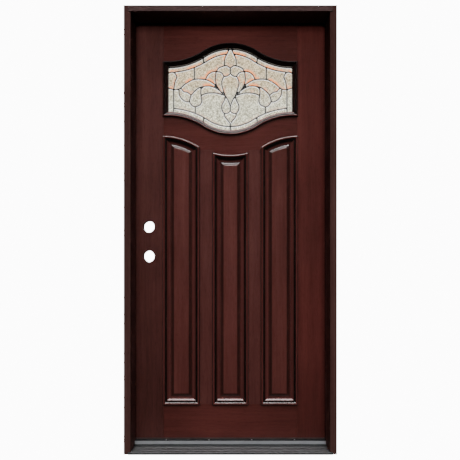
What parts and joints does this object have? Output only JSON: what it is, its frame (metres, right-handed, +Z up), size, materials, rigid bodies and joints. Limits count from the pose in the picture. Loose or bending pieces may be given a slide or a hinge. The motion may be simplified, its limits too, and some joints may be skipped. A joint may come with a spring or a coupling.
{
  "type": "front door",
  "caption": "Pre-hung panelled front door in a rebated timber frame, with a curved leaded window over three raised panels, on an aluminium sill.",
  "frame": {"origin": "the middle of the sill's underside, where the frame stands on the floor, under the middle of the frame's depth", "axes": "+Z up, +X to the right as seen from outside, towards the hinge side, +Y from outside to inside"},
  "size_m": [0.9524, 0.1859, 2.0061],
  "materials": {
    "stained_wood": "satin lacquer over red-brown stain",
    "panel_wood": "satin lacquer over red-brown stain",
    "moulding_wood": "satin lacquer, darker in the hollows",
    "stop_wood": "satin lacquer",
    "frame_wood": "satin lacquer, a browner stain",
    "sill_aluminium": "mill finish, ribbed",
    "sill_cap": "satin",
    "sill_block": "matt",
    "screw_steel": "bright",
    "seal_rubber": "matt",
    "sweep_vinyl": "matt",
    "textured_glass": "textured and bevelled",
    "came_lead": "dull grey",
    "hinge_brass": "satin"
  },
  "bodies": {
    "frame": {"strike_jamb": "frame_wood", "hinge_jamb": "frame_wood", "head_jamb": "frame_wood", "sill_base": "sill_block", "sill_deck": "sill_aluminium", "sill_cap": "sill_cap", "cap_screw_1": "screw_steel", "cap_screw_2": "screw_steel", "cap_screw_3": "screw_steel", "cap_screw_4": "screw_steel", "weatherstrip_strike": "seal_rubber", "weatherstrip_hinge": "seal_rubber", "weatherstrip_head": "seal_rubber", "jamb_hinge_leaf_1": "hinge_brass", "jamb_hinge_leaf_2": "hinge_brass", "jamb_hinge_leaf_3": "hinge_brass", "hinge_pin_1": "hinge_brass", "hinge_pin_2": "hinge_brass", "hinge_pin_3": "hinge_brass"},
    "door": {"lock_stile": "stained_wood", "hinge_stile": "stained_wood", "top_rail": "stained_wood", "middle_rail": "stained_wood", "bottom_rail": "stained_wood", "mullion_left": "stained_wood", "mullion_right": "stained_wood", "raised_panel_left": "panel_wood", "raised_panel_centre": "panel_wood", "raised_panel_right": "panel_wood", "panel_moulding_left_left": "moulding_wood", "panel_moulding_left_right": "moulding_wood", "panel_moulding_left_top": "moulding_wood", "panel_moulding_left_bottom": "moulding_wood", "panel_moulding_centre_left": "moulding_wood", "panel_moulding_centre_right": "moulding_wood", "panel_moulding_centre_top": "moulding_wood", "panel_moulding_centre_bottom": "moulding_wood", "panel_moulding_right_left": "moulding_wood", "panel_moulding_right_right": "moulding_wood", "panel_moulding_right_top": "moulding_wood", "panel_moulding_right_bottom": "moulding_wood", "window_moulding_left": "moulding_wood", "window_moulding_right": "moulding_wood", "window_moulding_top": "moulding_wood", "window_moulding_bottom": "moulding_wood", "window_stop_left": "stop_wood", "window_stop_right": "stop_wood", "window_stop_top": "stop_wood", "window_stop_bottom": "stop_wood", "leaded_glass": "textured_glass", "lead_cames": "came_lead", "door_sweep": "sweep_vinyl", "door_hinge_leaf_1": "hinge_brass", "door_hinge_leaf_2": "hinge_brass", "door_hinge_leaf_3": "hinge_brass"}
  },
  "joints": [
    {"name": "door_swing", "type": "hinge", "parent": "frame", "child": "door", "pos_m": [0.4556, 0.09085, 0], "axis": [0, 0, -1], "range_deg": [0, 170]}
  ]
}
